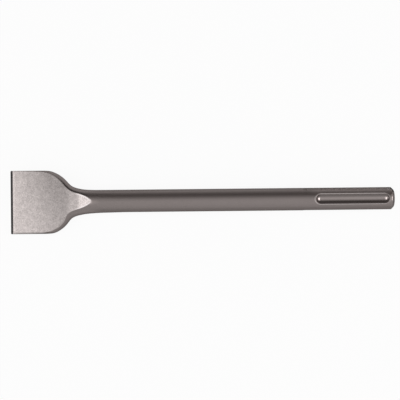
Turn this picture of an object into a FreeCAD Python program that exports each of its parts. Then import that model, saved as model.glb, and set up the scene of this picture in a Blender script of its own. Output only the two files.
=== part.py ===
import FreeCAD, Part
import math
import os

# Flat chisel for a rotary hammer, forged from one round bar, in millimetres.
# It is drawn with the cutting edge at x = 0, the shank along +x,
# the blade across y and its two faces towards +z and -z.

# Whole tool
overallLength = 307.0
shankDiameter = 18.0

# Blade outline, its two sides are forged a little differently
upperHalfWidth = 25.0
lowerHalfWidth = 25.8
frontCornerRadius = 0.9

# Shoulder curves: share of the face length, share of the width beyond the shank
upperShoulderRatios = [
    (0.4037, 1.000),
    (0.4814, 0.983),
    (0.5435, 0.909),
    (0.6056, 0.781),
    (0.6677, 0.593),
    (0.7065, 0.431),
    (0.7376, 0.292),
    (0.7764, 0.181),
    (0.8385, 0.093),
    (0.9317, 0.026),
    (1.0559, 0.002),
    (1.1801, 0.000),
]
lowerShoulderRatios = [
    (0.4193, 1.000),
    (0.5124, 0.985),
    (0.5745, 0.914),
    (0.6366, 0.770),
    (0.6832, 0.618),
    (0.7143, 0.477),
    (0.7453, 0.326),
    (0.7842, 0.218),
    (0.8540, 0.128),
    (0.9627, 0.060),
    (1.1180, 0.023),
    (1.3043, 0.009),
    (1.4441, 0.000),
]

# Swell of the forged side walls: share of the face length, half height over the shank radius
sideSwellRatios = [
    (0.0000, 2.056),
    (0.3730, 1.778),
    (0.4656, 1.422),
    (0.5664, 1.222),
    (0.6369, 1.078),
    (0.7064, 0.956),
    (0.7842, 1.006),
    (0.8697, 1.046),
    (0.9393, 1.032),
    (1.0000, 1.000),
]

# How full the forging is at its corners: share of the face length, 1 for a true oval
upperFullnessRatios = [
    (0.640, 1.000),
    (0.745, 1.130),
    (1.000, 1.130),
    (1.400, 1.000),
]
lowerFullnessRatios = [
    (0.660, 1.000),
    (0.720, 0.820),
    (1.000, 0.800),
    (1.400, 1.000),
]

# Wedge of the two faces, as half thicknesses
edgeHalfThickness = 0.12
bevelLength = 1.75
bevelHalfThickness = 1.25
landLength = 1.5
landHalfThickness = 1.62
faceLength = 64.4
faceHollow = 0.35
faceRimRadius = 0.5
runOutLength = 2.0

# Lock grooves, closed at both ends, one on each face side
lockGrooveLength = 58.6
lockGrooveToEnd = 4.4
lockGrooveRadius = 5.0
lockGrooveDepth = 3.0
lockGrooveRimRadius = 0.6

# Drive grooves, open at the shank end, at angles from +y towards +z
driveGrooveLength = 72.6
driveGrooveWidth = 3.4
driveGrooveDepth = 2.6
driveGrooveAngles = [27.0, -27.0, 180.0]

# Struck end
endChamfer = 2.2
endEdgeRadius = 0.7

# Turned about its own axis so that it lies on the shank and one blade side
restRoll = 10.29

shankRadius = shankDiameter / 2.0
landEnd = bevelLength + landLength
neckEnd = faceLength * (lowerShoulderRatios[-1][0] + 0.03)
forgingSections = 42


def smoothValue(table, x):
    """Smooth curve through the table, flat before its start and after its end."""
    if x <= table[0][0]:
        return table[0][1]
    if x >= table[-1][0]:
        return table[-1][1]
    slopes = [0.0]
    for before, here, after in zip(table, table[1:], table[2:]):
        left = (here[1] - before[1]) / (here[0] - before[0])
        right = (after[1] - here[1]) / (after[0] - here[0])
        slopes.append(2.0 * left * right / (left + right) if left * right > 0 else 0.0)
    slopes.append(0.0)
    index = 0
    while x > table[index + 1][0]:
        index += 1
    x0, y0 = table[index]
    x1, y1 = table[index + 1]
    t = (x - x0) / (x1 - x0)
    value = y0 * (1 + 2 * t) * (1 - t) ** 2 + y1 * t * t * (3 - 2 * t)
    bend = slopes[index] * t * (1 - t) ** 2 - slopes[index + 1] * t * t * (1 - t)
    return value + bend * (x1 - x0)


def halfWidth(x, wide, shoulder):
    """Distance from the axis to one side of the outline."""
    return shankRadius + (wide - shankRadius) * smoothValue(shoulder, x / faceLength)


def quarterOval(x, side, height, fullness):
    """Quarter of an oval from the side point to the top or bottom point."""
    poles = [(x, side, 0), (x, side, height), (x, 0, height)]
    poles = [FreeCAD.Vector(*pole) for pole in poles]
    weights = [1.0, fullness * math.sqrt(0.5), 1.0]
    curve = Part.BSplineCurve()
    curve.buildFromPolesMultsKnots(poles, [3, 3], [0.0, 1.0], False, 2, weights)
    return curve


def ovalSection(x):
    """Cross-section of the forging before its faces are formed."""
    up = halfWidth(x, upperHalfWidth, upperShoulderRatios)
    down = -halfWidth(x, lowerHalfWidth, lowerShoulderRatios)
    high = shankRadius * smoothValue(sideSwellRatios, x / faceLength)
    upFull = smoothValue(upperFullnessRatios, x / faceLength)
    downFull = smoothValue(lowerFullnessRatios, x / faceLength)
    quarters = [
        quarterOval(x, up, high, upFull),
        quarterOval(x, down, high, downFull),
        quarterOval(x, down, -high, downFull),
        quarterOval(x, up, -high, upFull),
    ]
    quarters[1].reverse()
    quarters[3].reverse()
    return Part.Wire([quarter.toShape() for quarter in quarters])


def forging():
    """Oval bar that widens from the round neck into the blade."""
    start = -bevelLength
    step = (neckEnd - start) / forgingSections
    sections = [ovalSection(start + step * index) for index in range(forgingSections + 1)]
    return Part.makeLoft(sections, True, False)


def faceHeight(x):
    """Distance of a blade face from the middle plane, a straight rise less a shallow hollow."""
    share = (x - landEnd) / (faceLength - landEnd)
    rise = share * (shankRadius - landHalfThickness)
    return landHalfThickness + rise - 4.0 * faceHollow * share * (1.0 - share)


def wedge():
    """Everything between the two blade faces, open past the end of the faces."""
    middle = 0.5 * (landEnd + faceLength)
    runOut = faceLength + runOutLength
    far = neckEnd + shankRadius
    high = 2.0 * shankRadius
    wide = 2.0 * lowerHalfWidth
    corners = [
        (0.0, edgeHalfThickness),
        (bevelLength, bevelHalfThickness),
        (landEnd, landHalfThickness),
    ]
    upper = [FreeCAD.Vector(x, -wide, z) for x, z in corners]
    lower = [FreeCAD.Vector(x, -wide, -z) for x, z in corners]
    edges = [Part.makeLine(lower[0], upper[0])]
    for side, points in ((1, upper), (-1, lower)):
        edges.append(Part.makeLine(points[0], points[1]))
        edges.append(Part.makeLine(points[1], points[2]))
        bend = FreeCAD.Vector(middle, -wide, side * faceHeight(middle))
        out = FreeCAD.Vector(runOut, -wide, side * faceHeight(runOut))
        edges.append(Part.Arc(points[2], bend, out).toShape())
        top = FreeCAD.Vector(runOut + runOutLength, -wide, side * high)
        end = FreeCAD.Vector(far, -wide, side * high)
        edges.append(Part.makeLine(out, top))
        edges.append(Part.makeLine(top, end))
    edges.append(Part.makeLine(FreeCAD.Vector(far, -wide, -high), FreeCAD.Vector(far, -wide, high)))
    outline = Part.Wire(Part.__sortEdges__(edges))
    return Part.Face(outline).extrude(FreeCAD.Vector(0, 2.0 * wide, 0))


def cornerTool(side):
    """Cutter that rounds one front corner of the blade."""
    radius = frontCornerRadius
    wide = upperHalfWidth if side > 0 else lowerHalfWidth
    tall = 5.0 * landHalfThickness
    corner = FreeCAD.Vector(-radius, wide - radius, -tall / 2.0)
    block = Part.makeBox(2.0 * radius, 2.0 * radius, tall, corner)
    centre = FreeCAD.Vector(radius, wide - radius, -tall)
    block = block.cut(Part.makeCylinder(radius, 2.0 * tall, centre))
    if side < 0:
        block = block.mirror(FreeCAD.Vector(0, 0, 0), FreeCAD.Vector(0, 1, 0))
    return block


def isCylinder(face, low, high):
    """Whether a face is a cylinder with its radius between two values."""
    return isinstance(face.Surface, Part.Cylinder) and low < face.Surface.Radius < high


def edgesBetween(body, isFirst, isSecond):
    """Edges where a face of the first sort meets a face of the second sort."""
    first = [edge for face in body.Faces if isFirst(face) for edge in face.Edges]
    second = [edge for face in body.Faces if isSecond(face) for edge in face.Edges]
    return [edge for edge in first if any(edge.isSame(other) for other in second)]


def blade():
    """Forged blade and neck with its faces, bevels and front corners."""
    body = forging().common(wedge())

    def isBladeFace(face):
        return isCylinder(face, overallLength, 100.0 * overallLength)

    def isSideWall(face):
        return isinstance(face.Surface, Part.BSplineSurface)

    body = body.makeFillet(faceRimRadius, edgesBetween(body, isBladeFace, isSideWall))
    return body.cut([cornerTool(1), cornerTool(-1)])


def shank():
    """Round shank with the chamfered struck end."""
    end = overallLength
    tip = shankRadius - endChamfer
    points = [
        (neckEnd, 0),
        (neckEnd, shankRadius),
        (end - endChamfer, shankRadius),
        (end, tip),
        (end, 0),
    ]
    profile = Part.makePolygon([FreeCAD.Vector(x, 0, z) for x, z in points + points[:1]])
    axis = FreeCAD.Vector(1, 0, 0)
    body = Part.Face(profile).revolve(FreeCAD.Vector(0, 0, 0), axis, 360)
    rims = []
    for edge in body.Edges:
        if isinstance(edge.Curve, Part.Circle) and edge.Curve.Center.x > end - endChamfer - 0.1:
            rims.append(edge)
    return body.makeFillet(endEdgeRadius, rims)


def lockGroove(side):
    """Cutter for one closed groove with ball-shaped ends."""
    height = side * (shankRadius - lockGrooveDepth + lockGrooveRadius)
    surface = shankRadius - lockGrooveDepth + lockGrooveRadius - shankRadius
    reach = math.sqrt(lockGrooveRadius ** 2 - surface ** 2)
    last = overallLength - lockGrooveToEnd - reach
    first = last + 2.0 * reach - lockGrooveLength
    start = FreeCAD.Vector(first, 0, height)
    stop = FreeCAD.Vector(last, 0, height)
    tool = Part.makeCylinder(lockGrooveRadius, last - first, start, FreeCAD.Vector(1, 0, 0))
    return tool.fuse([Part.makeSphere(lockGrooveRadius, start), Part.makeSphere(lockGrooveRadius, stop)])


def driveGroove(angle):
    """Cutter for one groove that runs out through the struck end."""
    floor = shankRadius - driveGrooveDepth
    half = driveGrooveWidth / 2.0
    start = overallLength - driveGrooveLength + half
    length = driveGrooveLength
    corner = FreeCAD.Vector(start, floor, -half)
    tool = Part.makeBox(length, shankRadius, driveGrooveWidth, corner)
    centre = FreeCAD.Vector(start, floor, 0)
    tool = tool.fuse(Part.makeCylinder(half, shankRadius, centre, FreeCAD.Vector(0, 1, 0)))
    tool.rotate(FreeCAD.Vector(0, 0, 0), FreeCAD.Vector(1, 0, 0), angle)
    return tool


def groovedShank():
    """Shank with its closed grooves, their rounded rims and its open grooves."""
    body = shank().cut([lockGroove(1), lockGroove(-1)])

    def isShank(face):
        return isCylinder(face, shankRadius - 0.01, shankRadius + 0.01)

    def isLockGroove(face):
        return isCylinder(face, lockGrooveRadius - 0.01, lockGrooveRadius + 0.01) or isinstance(
            face.Surface, Part.Sphere
        )

    body = body.makeFillet(lockGrooveRimRadius, edgesBetween(body, isShank, isLockGroove))
    return body.cut([driveGroove(angle) for angle in driveGrooveAngles])


def chisel():
    """The whole tool as one solid."""
    return blade().fuse(groovedShank())


def atRest(body):
    """Lying on the shank and the lower blade side, centred over the origin."""
    body = body.copy()
    body.rotate(FreeCAD.Vector(0, 0, 0), FreeCAD.Vector(1, 0, 0), restRoll)
    box = FreeCAD.BoundBox()
    for point in body.tessellate(0.02)[0]:
        box.add(point)
    body.translate(FreeCAD.Vector(-box.Center.x, -box.Center.y, -box.ZMin))
    return body


os.makedirs("parts", exist_ok=True)
tool = atRest(chisel())
print("solids", len(tool.Solids), "valid", tool.isValid(), "volume", tool.Volume)
tool.Solids[0].exportStep("parts/chisel.step")
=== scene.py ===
import math

import bpy
import numpy as np
from mathutils import Matrix, Vector


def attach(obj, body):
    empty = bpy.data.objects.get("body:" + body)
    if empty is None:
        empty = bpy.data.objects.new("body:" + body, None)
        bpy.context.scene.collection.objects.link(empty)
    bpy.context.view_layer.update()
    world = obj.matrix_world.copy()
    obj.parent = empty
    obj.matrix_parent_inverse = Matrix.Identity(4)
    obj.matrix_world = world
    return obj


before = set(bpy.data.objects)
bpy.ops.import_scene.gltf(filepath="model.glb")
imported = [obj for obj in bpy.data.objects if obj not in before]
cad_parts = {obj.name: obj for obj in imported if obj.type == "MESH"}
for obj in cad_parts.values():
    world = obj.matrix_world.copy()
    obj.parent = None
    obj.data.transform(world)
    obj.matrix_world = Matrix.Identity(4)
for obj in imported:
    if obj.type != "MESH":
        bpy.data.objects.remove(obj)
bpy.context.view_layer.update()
print("frame loaded:", ", ".join(sorted(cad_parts)))

millimetres = 1000  # in a metre

# How the chisel lies in the frame and how the forging is shaped, in metres and degrees
tool = {
    "edgeX": -0.1535,  # the cutting edge
    "axisY": 0.000393,
    "axisZ": 0.009018,
    "roll": 10.29,  # round its own axis, as it rests on shank and blade
    "length": 0.307,
    "shankRadius": 0.009,
    "bevelLength": 0.00175,
    "landLength": 0.0015,
    "landHalfThickness": 0.00162,
    "faceLength": 0.0644,  # from the edge to the tip of the face's tongue
    "faceHollow": 0.00035,
}

rollAngle = math.radians(tool["roll"])
lengthAxis = Vector((1, 0, 0))
acrossAxis = Vector((0, math.cos(rollAngle), math.sin(rollAngle)))  # towards the picture's top
faceAxis = Vector((0, -math.sin(rollAngle), math.cos(rollAngle)))  # square to the blade, upwards
axisPoint = Vector((0, tool["axisY"], tool["axisZ"]))


class Wire:
    # One output socket of a finish; an expression on it adds its Math nodes there

    def __init__(self, finish, socket):
        self.finish = finish
        self.socket = socket

    def maths(self, operation, *values):
        return self.finish.wire("Math", {"operation": operation}, dict(enumerate(values)))

    def __add__(self, other):
        return self.maths("ADD", self, other)

    def __radd__(self, other):
        return self.maths("ADD", other, self)

    def __sub__(self, other):
        return self.maths("SUBTRACT", self, other)

    def __rsub__(self, other):
        return self.maths("SUBTRACT", other, self)

    def __mul__(self, other):
        return self.maths("MULTIPLY", self, other)

    def __rmul__(self, other):
        return self.maths("MULTIPLY", other, self)

    def size(self):
        return self.maths("ABSOLUTE", self)

    def root(self):
        return self.maths("SQRT", self)

    def least(self, other):
        return self.maths("MINIMUM", self, other)

    def most(self, other):
        return self.maths("MAXIMUM", self, other)

    def degrees(self, over):  # the angle whose tangent is this wire over another
        return self.maths("ARCTAN2", self, over) * math.degrees(1)

    def rise(self, low, high):  # 0 below low, 1 above high, a smooth step between them
        return self.finish.wire("MapRange", {"interpolation_type": "SMOOTHSTEP"},
                                {"Value": self, "From Min": low, "From Max": high}, "Result")

    def fall(self, low, high):  # 1 below low, 0 above high
        return 1 - self.rise(low, high)

    def band(self, start, full, fade, end):  # rises from start to full, falls from fade to end
        return self.rise(start, full) * self.fall(fade, end)

    def near(self, middle, full, end):  # 1 close to the middle, 0 from end away on both sides
        return (self - middle).size().fall(full, end)


def plug(value, socket):
    # a wire becomes a link, anything else is the socket's own value
    if isinstance(value, Wire):
        socket.id_data.links.new(value.socket, socket)
    else:
        socket.default_value = value


mixPlaces = {"share": 0, "first": 6, "second": 7, "result": 2}  # colour sockets of a Mix node


class Finish:
    # A material or a world while it is wired

    def __init__(self, owner):
        owner.use_nodes = True
        self.owner = owner
        self.tree = owner.node_tree
        self.tree.nodes.clear()

    def node(self, kind, settings=None, values=None):
        # any node by its type; values and links go to its sockets by their name or place
        made = self.tree.nodes.new("ShaderNode" + kind)
        for name, value in (settings or {}).items():
            setattr(made, name, value)
        for place, value in (values or {}).items():
            plug(value, made.inputs[place])
        return made

    def wire(self, kind, settings=None, values=None, out=0):
        return Wire(self, self.node(kind, settings, values).outputs[out])

    def blend(self, first, second, share, how="MIX"):
        # two colours, mixed or multiplied by a share from 0 to 1
        values = {mixPlaces["share"]: share, mixPlaces["first"]: first,
                  mixPlaces["second"]: second}
        return self.wire("Mix", {"data_type": "RGBA", "blend_type": how}, values,
                         mixPlaces["result"])

    def show(self, surface, end="OutputMaterial"):
        self.node(end, values={"Surface": surface})


# Steel of the chisel. A finish is placed in millimetres: along from the cutting edge, across
# towards the picture's top, high over the blade's middle plane, out from the axis, or under the
# face. There, four numbers are a band, three a middle and its reach, and two a rise or a fall
steel = {
    "shankColour": (0.232, 0.202, 0.195, 1),
    "blastedColour": (0.554, 0.504, 0.491, 1),
    "bevelShadeColour": (0.064, 0.060, 0.060, 1),
    "rimHighlightColour": (0.876, 0.819, 0.812, 1),
    "milledColour": (0.590, 0.548, 0.539, 1),
    "edgeTint": (0.45, 0.44, 0.44, 1),  # how bright the steel gets where it turns away
    "shankRoughness": 0.36,
    "blastedRoughness": 0.46,
    "milledRoughness": 0.60,
    "grooveRoughness": 0.27,

    # blasted grain: its size and depth in metres, how much it mottles, and the part of both that
    # stays off the face; each layer has its scale, detail, roughness and share
    "grainSize": 0.0009,
    "grainDepth": 0.00016,
    "grainLayers": ((1.0, 2.0, 0.6, 0.75), (0.28, 3.0, 0.55, 0.4)),
    "mottle": 1.3,
    "mottleOffFace": 0.15,
    "depthOffFace": 0.08,

    # the face, and how the blasting runs over its edge where the lower shoulder turns in
    "faceAlong": (1.6, 1.8, 66.5, 67.0),
    "faceUnder": (0.12, 0.24),
    "spill": 0.7,
    "spillAlong": (36.5, 39.0, 43.5, 46.0),
    "spillAcross": (-12.0, -6.0),
    # painted light and shade on the face, from here to landAlong: darker to its middle, lighter
    # to the tongue's tip, darker towards the upper side, a painted highlight on the land
    "farFaceDim": 0.365,  # darker from the edge to its middle
    "farFaceAlong": (0.0, 44.0),
    "neckGlow": 0.20,  # lighter again in the tongue towards its tip, a painted highlight
    "neckAlong": (43.0, 51.0),
    "tongueGlow": 0.52,
    "tongueAlong": (53.0, 57.8),
    "upperDim": 0.007,  # per millimetre towards the upper side
    "upperAlong": (-10.0, 34.0),
    "landGlow": 0.09,
    "landAlong": (1.9, 2.1, 3.4, 4.4),

    # the ground bevel, painted near black as shade, whose surface climbs by bevelSlope a
    # millimetre
    "bevelAlong": (1.92, 2.02),
    "bevelSlope": 0.646,
    "bevelOver": (-0.2, 0.0),

    # painted highlights: the bright rim of the tongue and the lit run-out past its tip
    "tongueSpread": 3.4,  # how its half width squared grows, a millimetre
    "tongueOver": 0.35,  # how far the rim reaches past the face's tip
    "rimStrength": 0.95,
    "rimInward": (-0.35, -0.05, 0.35, 0.95),
    "rimAlong": (50.0, 58.0, 64.7, 65.2),
    "rimUnder": (0.25, 0.45),
    "tipAlong": (58.0, 62.0),
    "tipAcross": (-0.35, 0.4, 2.9),
    "tipGlow": 0.55,
    "tipEnd": (64.8, 67.2),
    "runOutGlow": 0.24,
    "runOutEnd": (66.0, 73.0),

    # shade on the upper wall close under the face, on the lower wall and on the lower side
    "wallShade": 0.62,
    "wallUnder": (0.15, 0.35, 0.7, 1.4),
    "wallAcross": (1.5, 2.5),
    "wallAlong": (38.0, 46.0, 57.0, 64.0),
    "lowWallDim": 0.25,
    "lowWallAcross": (-5.0, -3.0),
    "lowWallHeight": (2.5, 6.0),
    "lowWallOut": (9.2, 9.5),
    "lowWallAlong": (34.0, 40.0),
    "lowEdgeShade": 0.45,
    "lowEdgeAcross": (-25.3, -23.6),
    "lowEdgeAlong": (1.8, 3.0),

    # painted shade: the round shank darkens towards its lower and upper side
    "lowSideDim": 0.27,
    "lowSideAcross": (-7.0, -5.2),
    "upperSideDim": 0.19,
    "upperSideAcross": (6.8, 7.8),
    "sideOut": (9.3, 9.6),
    "sideAlong": (60.0, 75.0),

    # closed grooves, cut by a ball of ballRadius whose centre runs at ballHeight
    "lockStart": 244.0,
    "lockEnd": 302.6,
    "lockHalfWidth": 4.0,
    "ballRadius": 5.0,
    "ballHeight": 11.0,
    "lockFit": (0.05, 0.15),  # past the ball's surface, as the rim's start and end
    "lockOut": (8.75, 8.9),
    "lockAlong": (240.0, 241.0),
    "lockRimStrength": 0.4,
    "lockRimStart": (0.04, 0.14),
    "lockRimEnd": (0.30, 0.62),
    "lockRimOut": (8.2, 8.5),
    "lockRimFade": 0.6,
    "lockRimFadeAlong": (298.0, 301.0),
    # painted highlight on the floor, painted glint on the balls' ends, painted shade on the
    # flanks
    "floorGlow": 0.27,
    "floorAcross": (0.0, 0.4, 2.0),
    "ballGlow": 4.5,  # times the floor's
    "ballPast": (1.4, 0.5, 1.1),
    "ballAcross": (0.0, 0.5, 1.8),
    "flankShade": 0.30,
    "flankAcross": (0.6, 2.6, 2.8, 3.5),

    # open grooves, and a painted highlight on the steel between them and the closed ones
    "driveStart": 234.4,
    "driveAngles": (27.0, -27.0, 180.0),
    "driveWidth": 3.4,
    "driveFit": (0.02, 0.12),  # past half the width
    "driveRunUp": 0.2,  # before the start
    "driveFloor": (6.2, 6.35),
    "driveOut": (8.7, 8.85),
    "betweenSheenGlow": 0.24,
    "betweenSheenAlong": (236.0, 246.0),
    "betweenSheenAcross": (3.6, 4.4, 6.8, 7.6),

    # struck end: a painted highlight on its edge over a painted dark line, and painted shadow at
    # an open groove's mouth and in the open grooves
    "crescentGlow": 1.3,
    "crescentAlong": (303.8, 304.3, 304.6, 305.2),
    "crescentAcross": (0.9, 1.6, 3.6),
    "endLineDim": 0.5,
    "endLineAlong": (305.0, 305.3, 305.8, 306.2),
    "endLineAcross": (0.0, 4.5, 6.5),
    "endShadowDim": 0.97,
    "mouthShadowAlong": (304.9, 305.2),
    "mouthShadowAcross": (5.75, 0.6, 1.0),
    "mouthShadowHeight": (3.0, 3.6),
    "driveEndAlong": (304.3, 304.8),
}


class Place:
    # The tool's own distances at a point of its surface, as wires in millimetres

    def __init__(self, made):
        self.object = made.wire("TexCoord", out="Object")
        x, y, z = (made.wire("SeparateXYZ", values={"Vector": self.object}, out=axis)
                   for axis in "XYZ")
        fromAxisY = (y - tool["axisY"]) * millimetres
        fromAxisZ = (z - tool["axisZ"]) * millimetres
        self.along = (x - tool["edgeX"]) * millimetres
        self.across = fromAxisY * acrossAxis.y + fromAxisZ * acrossAxis.z
        self.facewise = fromAxisY * faceAxis.y + fromAxisZ * faceAxis.z
        self.height = self.facewise.size()
        self.radius = (self.across * self.across + self.facewise * self.facewise).root()


def underFace(at):
    # the wedge's height, a straight run to the tongue's tip less a shallow arc, over the point
    start = (tool["bevelLength"] + tool["landLength"]) * millimetres
    end = tool["faceLength"] * millimetres
    low = tool["landHalfThickness"] * millimetres
    high = tool["shankRadius"] * millimetres
    share = (at.along - start) * (1 / (end - start))
    arc = share * (1 - share) * (4 * tool["faceHollow"] * millimetres)
    return low + share * (high - low) - arc - at.height


def faceMask(at, under, look):
    return under.fall(*look["faceUnder"]) * at.along.band(*look["faceAlong"])


def bevelMask(at, look):
    over = at.height - at.along * look["bevelSlope"]
    return at.along.fall(*look["bevelAlong"]) * over.rise(*look["bevelOver"])


# the tongue's rim is a painted highlight along its edge
def tongueRim(at, under, look):
    # the tongue's half width squared falls in proportion to the way left to its tip
    tip = tool["faceLength"] * millimetres + look["tongueOver"]
    halfWidth = ((tip - at.along).most(0) * look["tongueSpread"]).root()
    inward = halfWidth - at.across.size()
    return (inward.band(*look["rimInward"]) * at.along.band(*look["rimAlong"])
            * under.fall(*look["rimUnder"]))


def lockMasks(at, look):
    # the closed grooves' inside, their rim, and how far a point lies past the ball's last centre
    ballStart = look["lockStart"] + look["lockHalfWidth"]
    ballEnd = look["lockEnd"] - look["lockHalfWidth"]
    pastBall = (ballStart - at.along).most(at.along - ballEnd).most(0)
    overBall = at.height - look["ballHeight"]
    fromCut = ((at.across * at.across + overBall * overBall + pastBall * pastBall).root()
               - look["ballRadius"])
    onPlug = at.along.rise(*look["lockAlong"])
    inside = fromCut.fall(*look["lockFit"]) * at.radius.fall(*look["lockOut"]) * onPlug
    # the closed grooves' rim is a painted highlight
    rim = fromCut.band(*look["lockRimStart"], *look["lockRimEnd"])
    rim = rim * at.radius.rise(*look["lockRimOut"]) * onPlug
    rim = rim * (1 - at.along.rise(*look["lockRimFadeAlong"]) * look["lockRimFade"])
    return inside, rim, pastBall


def driveMask(at, look):
    # a strip of the groove's width at each of its angles round the axis
    halfWidth = look["driveWidth"] / 2
    low, high = look["driveFit"]
    inside = 0
    for angle in look["driveAngles"]:
        turn = math.radians(angle)
        aside = at.across * -math.sin(turn) + at.facewise * math.cos(turn)
        outward = at.across * math.cos(turn) + at.facewise * math.sin(turn)
        strip = aside.size().fall(halfWidth + low, halfWidth + high)
        inside = strip * outward.rise(*look["driveFloor"]) + inside
    start = look["driveStart"]
    return (inside * at.radius.fall(*look["driveOut"])
            * at.along.rise(start - look["driveRunUp"], start))


def faceTone(at, look):
    # painted light and shade: lightest at the edge and at the tongue's tip, and lighter low down
    tone = (1 - at.along.rise(*look["farFaceAlong"]) * look["farFaceDim"]
            + at.along.rise(*look["neckAlong"]) * look["neckGlow"]
            + at.along.rise(*look["tongueAlong"]) * look["tongueGlow"])
    tone = tone * (1 - at.across * at.along.rise(*look["upperAlong"]) * look["upperDim"])
    return tone * (1 + at.along.band(*look["landAlong"]) * look["landGlow"])


def neckTone(at, offFace, look):
    # painted highlight past the tongue's tip, painted shade on the lower wall
    tipSheen = (at.along.fall(*look["tipEnd"]) * look["tipGlow"]
               + at.along.fall(*look["runOutEnd"]) * look["runOutGlow"])
    tipSheen = tipSheen * at.across.near(*look["tipAcross"]) * at.along.rise(*look["tipAlong"])
    lowWall = at.across.fall(*look["lowWallAcross"]) * at.height.fall(*look["lowWallHeight"])
    lowWall = lowWall * at.radius.rise(*look["lowWallOut"]) * at.along.rise(*look["lowWallAlong"])
    return (1 + tipSheen * offFace) * (1 - lowWall * offFace * look["lowWallDim"])


def wallTone(at, under, look):
    wall = under.band(*look["wallUnder"]) * at.across.rise(*look["wallAcross"])
    wall = wall * at.along.band(*look["wallAlong"])
    lowEdge = at.across.fall(*look["lowEdgeAcross"]) * at.along.rise(*look["lowEdgeAlong"])
    return (1 - wall * look["wallShade"]) * (1 - lowEdge * look["lowEdgeShade"])


def sideTone(at, look):
    # painted shade on the shank's lower and upper side
    dim = (at.across.fall(*look["lowSideAcross"]) * look["lowSideDim"]
           + at.across.rise(*look["upperSideAcross"]) * look["upperSideDim"])
    return 1 - dim * at.radius.fall(*look["sideOut"]) * at.along.rise(*look["sideAlong"])


def lockTone(at, inLock, pastBall, look):
    # painted highlight along the floor, a painted glint on the balls' ends, painted shade on the
    # flanks
    ball = pastBall.near(*look["ballPast"]) * at.across.near(*look["ballAcross"])
    floor = at.across.near(*look["floorAcross"]) + ball * look["ballGlow"]
    flank = at.across.size().band(*look["flankAcross"])
    return 1 + inLock * (floor * look["floorGlow"] - flank * look["flankShade"])


def endTone(at, inDrive, look):
    # painted highlight between the closed and open grooves
    betweenGroovesSheen = at.along.rise(*look["betweenSheenAlong"]) * at.across.band(*look["betweenSheenAcross"])
    # painted highlight on the end's edge and painted shade in the line beside it
    crescent = at.along.band(*look["crescentAlong"]) * at.across.near(*look["crescentAcross"])
    endLine = at.along.band(*look["endLineAlong"]) * at.across.near(*look["endLineAcross"])
    # painted shadow at an open groove's mouth on the end
    mouthShadow = at.along.rise(*look["mouthShadowAlong"]) * at.across.near(*look["mouthShadowAcross"])
    mouthShadow = mouthShadow * at.facewise.rise(*look["mouthShadowHeight"])
    dark = (inDrive * at.along.rise(*look["driveEndAlong"])).most(mouthShadow)
    tone = (1 + betweenGroovesSheen * look["betweenSheenGlow"]) * (1 + crescent * look["crescentGlow"])
    return tone * (1 - endLine * look["endLineDim"]) * (1 - dark * look["endShadowDim"])


def blastedGrain(made, at, look):
    # two noises round zero, a fine one and a cloudy one, added by their shares
    grain = 0
    for scale, detail, roughness, share in look["grainLayers"]:
        values = {"Vector": at.object, "Scale": scale / look["grainSize"],
                  "Detail": detail, "Roughness": roughness}
        grain = (made.wire("TexNoise", values=values, out="Fac") - 0.5) * share + grain
    return grain


def forgedSteel(name, look):
    # forged all over, then blasted and milled by place, the ground bevel painted near black as
    # shade, with the rims' painted highlights laid over these
    made = Finish(bpy.data.materials.new(name))
    at = Place(made)
    under = underFace(at)
    spill = at.across.fall(*look["spillAcross"]) * at.along.band(*look["spillAlong"])
    underBlasting = under - spill * look["spill"]
    onFace = faceMask(at, underBlasting, look)
    offFace = 1 - onFace
    inLock, lockRim, pastBall = lockMasks(at, look)
    inDrive = driveMask(at, look)

    tone = (faceTone(at, look) * onFace + offFace) * neckTone(at, offFace, look)
    tone = tone * wallTone(at, underBlasting, look) * sideTone(at, look)
    tone = tone * lockTone(at, inLock, pastBall, look) * endTone(at, inDrive, look)
    grain = blastedGrain(made, at, look)
    mottle = grain * look["mottle"] * (onFace + offFace * look["mottleOffFace"])
    tone = (1 + mottle) * tone

    colour = made.blend(look["shankColour"], look["blastedColour"], onFace)
    colour = made.blend(colour, look["milledColour"], inDrive)
    # painted shade: the bevel in near black
    colour = made.blend(colour, look["bevelShadeColour"], bevelMask(at, look))
    grey = made.wire("CombineXYZ", values={"X": tone, "Y": tone, "Z": tone})
    colour = made.blend(colour, grey, 1.0, "MULTIPLY")
    # painted highlights on the tongue's rim and on the closed grooves' rims
    rim = tongueRim(at, under, look) * look["rimStrength"] + lockRim * look["lockRimStrength"]
    colour = made.blend(colour, look["rimHighlightColour"], rim.least(1))

    forged = look["shankRoughness"]
    rough = (forged + onFace * (look["blastedRoughness"] - forged)
             + inDrive.least(1) * (look["milledRoughness"] - forged)
             + inLock * (look["grooveRoughness"] - forged))
    relief = grain * (onFace + offFace * look["depthOffFace"])
    bump = made.wire("Bump", values={"Height": relief, "Strength": 1.0,
                                     "Distance": look["grainDepth"]})
    made.show(made.wire("BsdfPrincipled", values={
        "Base Color": colour, "Metallic": 1.0, "Roughness": rough,
        "Specular Tint": look["edgeTint"], "Normal": bump}))
    return made.owner


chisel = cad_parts["chisel"]
chisel.data.materials.clear()
chisel.data.materials.append(forgedSteel("forged steel", steel))
print("chisel: forged steel laid on", len(chisel.data.polygons), "faces")

white = (1, 1, 1, 1)

# The white table it lies on
table = {
    "size": 6.0,
    "squares": 4,  # along each side
    "colour": (0.9, 0.9, 0.9, 1),
    "ownWhite": 0.92,  # the rest takes the faint shadow
}


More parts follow.
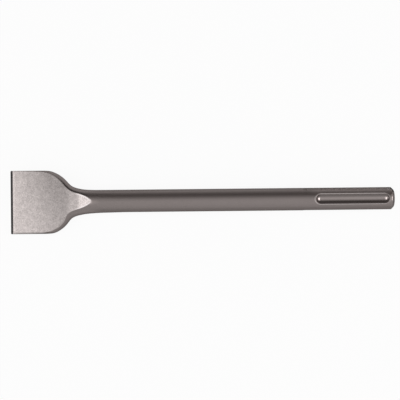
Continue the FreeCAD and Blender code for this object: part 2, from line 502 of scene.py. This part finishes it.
def whiteTable():
    # a flat grid at z = 0 over a square, white to the eye and in the steel
    points = table["squares"] + 1
    side = np.linspace(-table["size"] / 2, table["size"] / 2, points)
    gridX, gridY = np.meshgrid(side, side)
    corners = np.stack([gridX, gridY, np.zeros_like(gridX)], axis=-1).reshape(-1, 3)
    first = np.arange(points * points).reshape(points, points)[:-1, :-1].reshape(-1)
    faces = np.stack([first, first + 1, first + points + 1, first + points], axis=1)
    mesh = bpy.data.meshes.new("table")
    mesh.from_pydata(corners.tolist(), [], faces.tolist())
    floor = bpy.data.objects.new("table", mesh)
    bpy.context.scene.collection.objects.link(floor)

    made = Finish(bpy.data.materials.new("white table"))
    seen = made.wire("LightPath", out="Is Camera Ray").most(
        made.wire("LightPath", out="Is Glossy Ray"))
    matt = made.wire("BsdfDiffuse", values={"Color": table["colour"]})
    glow = made.wire("Emission", values={"Color": white, "Strength": 1.0})
    made.show(made.wire("MixShader", values={0: seen * table["ownWhite"], 1: matt, 2: glow}))
    mesh.materials.append(made.owner)


whiteTable()
print("table laid")

# Studio: a room that is bright overhead, dim half way down behind the tool and grey lower down
# behind and in front, and two soft boxes. The room's degrees count from the blade's face axis
# towards the back, or the front for frontFrom, and the boxes' along the tool
studio = {
    "bright": (0.949, 0.949, 0.949, 1),
    "dim": (0.186, 0.172, 0.168, 1),
    "dimFrom": (-2.0, 50.0),
    "back": (0.636, 0.636, 0.636, 1),
    "backFrom": (64.0, 104.0),
    "front": (0.602, 0.602, 0.602, 1),
    "frontFrom": (50.0, 95.0),
    "boxDistance": 1.3,
    "boxes": {  # angle, strength, and size in metres
        "left soft box": (-41.0, 1.95, (0.30, 0.9)),
        "right soft box": (52.0, 2.37, (0.40, 0.8)),
    },
}


def roomLight():
    # the world's strength follows the angle round the tool's length
    world = bpy.data.worlds.new("studio room")
    bpy.context.scene.world = world
    made = Finish(world)
    direction = made.wire("TexCoord", out="Generated")
    aside, over = (made.wire("VectorMath", {"operation": "DOT_PRODUCT"},
                             {0: direction, 1: axis}, "Value")
                   for axis in (acrossAxis, faceAxis))
    angle = aside.degrees(over)
    light = made.blend(studio["bright"], studio["dim"], angle.rise(*studio["dimFrom"]))
    light = made.blend(light, studio["back"], angle.rise(*studio["backFrom"]))
    light = made.blend(light, studio["front"], (0 - angle).rise(*studio["frontFrom"]))
    light = made.blend(light, white, made.wire("LightPath", out="Is Camera Ray"))
    made.show(made.wire("Background", values={"Color": light}), "OutputWorld")


def placed(thing, name, right, up, back, point):
    # an object turned so that its own x, y and z lie along right, up and back
    turned = Matrix((right, up, back)).transposed().to_4x4()
    turned.translation = point
    body = bpy.data.objects.new(name, thing)
    bpy.context.scene.collection.objects.link(body)
    body.matrix_world = turned
    return body


def softBox(name, angle, strength, size):
    # a rectangle turned from the blade's face axis towards +x, shining at the tool
    turn = math.radians(angle)
    outward = faceAxis * math.cos(turn) + lengthAxis * math.sin(turn)
    lamp = bpy.data.lights.new(name, "AREA")
    lamp.shape = "RECTANGLE"
    lamp.size, lamp.size_y = size
    lamp.energy = math.pi * size[0] * size[1] * strength  # the watts that give this strength
    side = acrossAxis.cross(outward).normalized()
    placed(lamp, name, side, acrossAxis, outward, axisPoint + outward * studio["boxDistance"])


roomLight()
for name, (angle, strength, size) in studio["boxes"].items():
    softBox(name, angle, strength, size)
print("studio lit")

# Camera straight above the blade's face
shot = {
    "distance": 0.75,
    "picture": 400,  # pixels across
    "pixelsAlong": 382.37,  # the tool's length in the picture
    "centreX": 201.99,  # where the middle of the tool's axis falls
    "centreY": 200.15,
    "tilt": 0.584,  # degrees, the shank end is higher
    "sensor": 36.0,
    "clipStart": 0.01,
}


def camera():
    data = bpy.data.cameras.new("camera")
    data.sensor_fit = "HORIZONTAL"
    data.sensor_width = shot["sensor"]
    perMetre = shot["pixelsAlong"] / tool["length"]
    data.lens = shot["sensor"] * perMetre * shot["distance"] / shot["picture"]
    data.clip_start = shot["clipStart"]
    turn = math.radians(shot["tilt"])
    right = lengthAxis * math.cos(turn) - acrossAxis * math.sin(turn)
    up = lengthAxis * math.sin(turn) + acrossAxis * math.cos(turn)
    middle = shot["picture"] / 2
    aim = axisPoint - right * ((shot["centreX"] - middle) / perMetre)
    aim = aim + up * ((shot["centreY"] - middle) / perMetre)
    eye = placed(data, "camera", right, up, faceAxis, aim + faceAxis * shot["distance"])
    bpy.context.scene.camera = eye


camera()
bpy.context.scene.view_settings.view_transform = "Standard"
print("camera set")

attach(chisel, "root")
